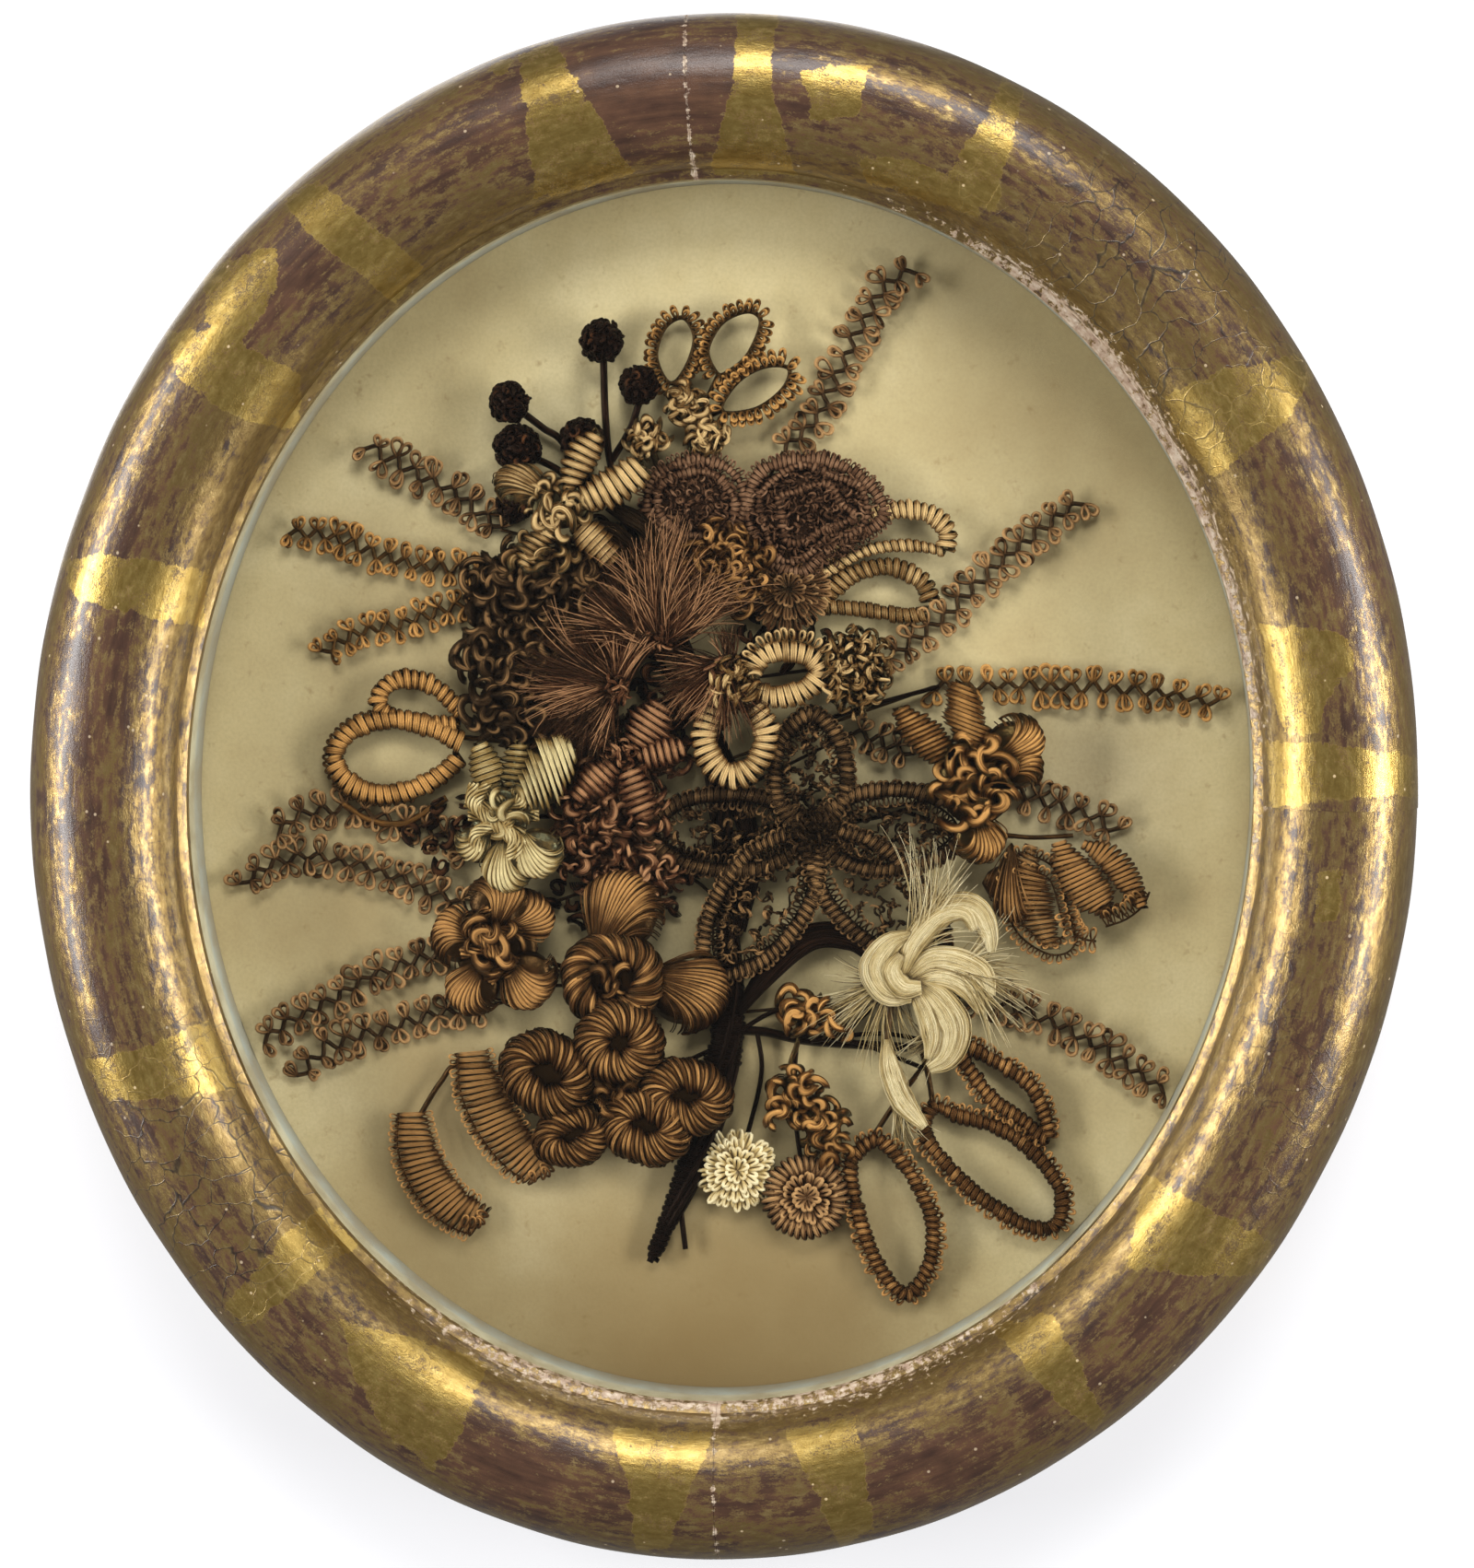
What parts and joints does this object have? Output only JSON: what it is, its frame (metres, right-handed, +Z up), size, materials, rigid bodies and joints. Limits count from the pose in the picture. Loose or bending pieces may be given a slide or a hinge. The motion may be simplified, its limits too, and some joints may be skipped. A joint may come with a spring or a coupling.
{
  "type": "framed hair bouquet",
  "caption": "Deep oval gilt shadow-box frame holding a wired bouquet of hairwork flowers, leaves, sprigs and wound berries on aged paper behind glass.",
  "frame": {"origin": "centre of the back board's outer face, which lies against the wall", "axes": "+Z up as hung, +Y into the wall, so the glass faces -Y, +X to the right as seen from the front"},
  "size_m": [0.4096, 0.0523, 0.457],
  "materials": {
    "gilt": "worn gold leaf over brown bole on gesso",
    "pane": "clear sheet",
    "liner_paper": "faded paper over card",
    "aged_paper": "yellowed, foxed",
    "card": "plain",
    "pine": "rough planed, darkened",
    "iron": "dull, slightly rusted",
    "brass": "tarnished",
    "bound_wire": "fine wire wound with black thread and hair",
    "brown_hair": "satin, on fine wire",
    "dark_hair": "satin, on fine wire",
    "blond_hair": "satin, on fine wire",
    "cream_hair": "satin, on fine wire",
    "mauve_hair": "satin, on fine wire"
  },
  "bodies": {
    "frame": {"frame_upper_right": "gilt", "frame_upper_left": "gilt", "frame_lower_left": "gilt", "frame_lower_right": "gilt", "glass_pane": "pane", "well_liner": "liner_paper", "ground_paper": "aged_paper", "mount_board": "card", "backboard": "pine", "backboard_nail_1": "iron", "backboard_nail_2": "iron", "backboard_nail_3": "iron", "backboard_nail_4": "iron", "screw_eye_right": "brass", "screw_eye_left": "brass", "main_stem": "bound_wire", "sprig_left_1": "brown_hair", "sprig_left_2": "brown_hair", "sprig_left_3": "brown_hair", "sprig_left_4": "brown_hair", "sprig_left_5": "brown_hair", "sprig_left_6": "brown_hair", "sprig_left_7": "brown_hair", "sprig_right_1": "brown_hair", "sprig_right_2": "brown_hair", "sprig_right_3": "brown_hair", "sprig_right_5": "brown_hair", "sprig_right_6": "brown_hair", "loop_spray_top": "brown_hair", "loop_pair_left": "brown_hair", "loop_spray_low": "brown_hair", "gimp_leaves": "brown_hair", "right_leaves": "brown_hair", "bud_spray": "brown_hair", "curl_dome": "brown_hair", "brown_flower": "brown_hair", "fan_flower": "brown_hair", "ring_flower": "brown_hair", "curly_flower_right": "brown_hair", "sprig_right_4": "dark_hair", "berry_spray_top": "dark_hair", "berry_spray_left": "dark_hair", "dark_rosette": "dark_hair", "dark_curl_cluster": "dark_hair", "lace_flower": "dark_hair", "loop_pair_right": "blond_hair", "button_spray": "blond_hair", "blond_flower": "blond_hair", "loop_petal_flower": "blond_hair", "cream_knot_flower": "cream_hair", "white_tuft": "cream_hair", "cream_daisy": "cream_hair", "purple_leaf_left": "mauve_hair", "purple_leaf_right": "mauve_hair", "hair_tuft": "mauve_hair", "maroon_curls": "mauve_hair", "grey_daisy": "mauve_hair"},
    "ring_right": {"hanging_ring_right": "brass"},
    "ring_left": {"hanging_ring_left": "brass"}
  },
  "joints": [
    {"name": "ring_right_swing", "type": "hinge", "parent": "frame", "child": "ring_right", "pos_m": [0.16207, -0.00355, 0.11384], "axis": [1, 0, 0], "range_deg": [-8, 180]},
    {"name": "ring_left_swing", "type": "hinge", "parent": "frame", "child": "ring_left", "pos_m": [-0.16207, -0.00355, 0.11384], "axis": [1, 0, 0], "range_deg": [-8, 180]}
  ]
}
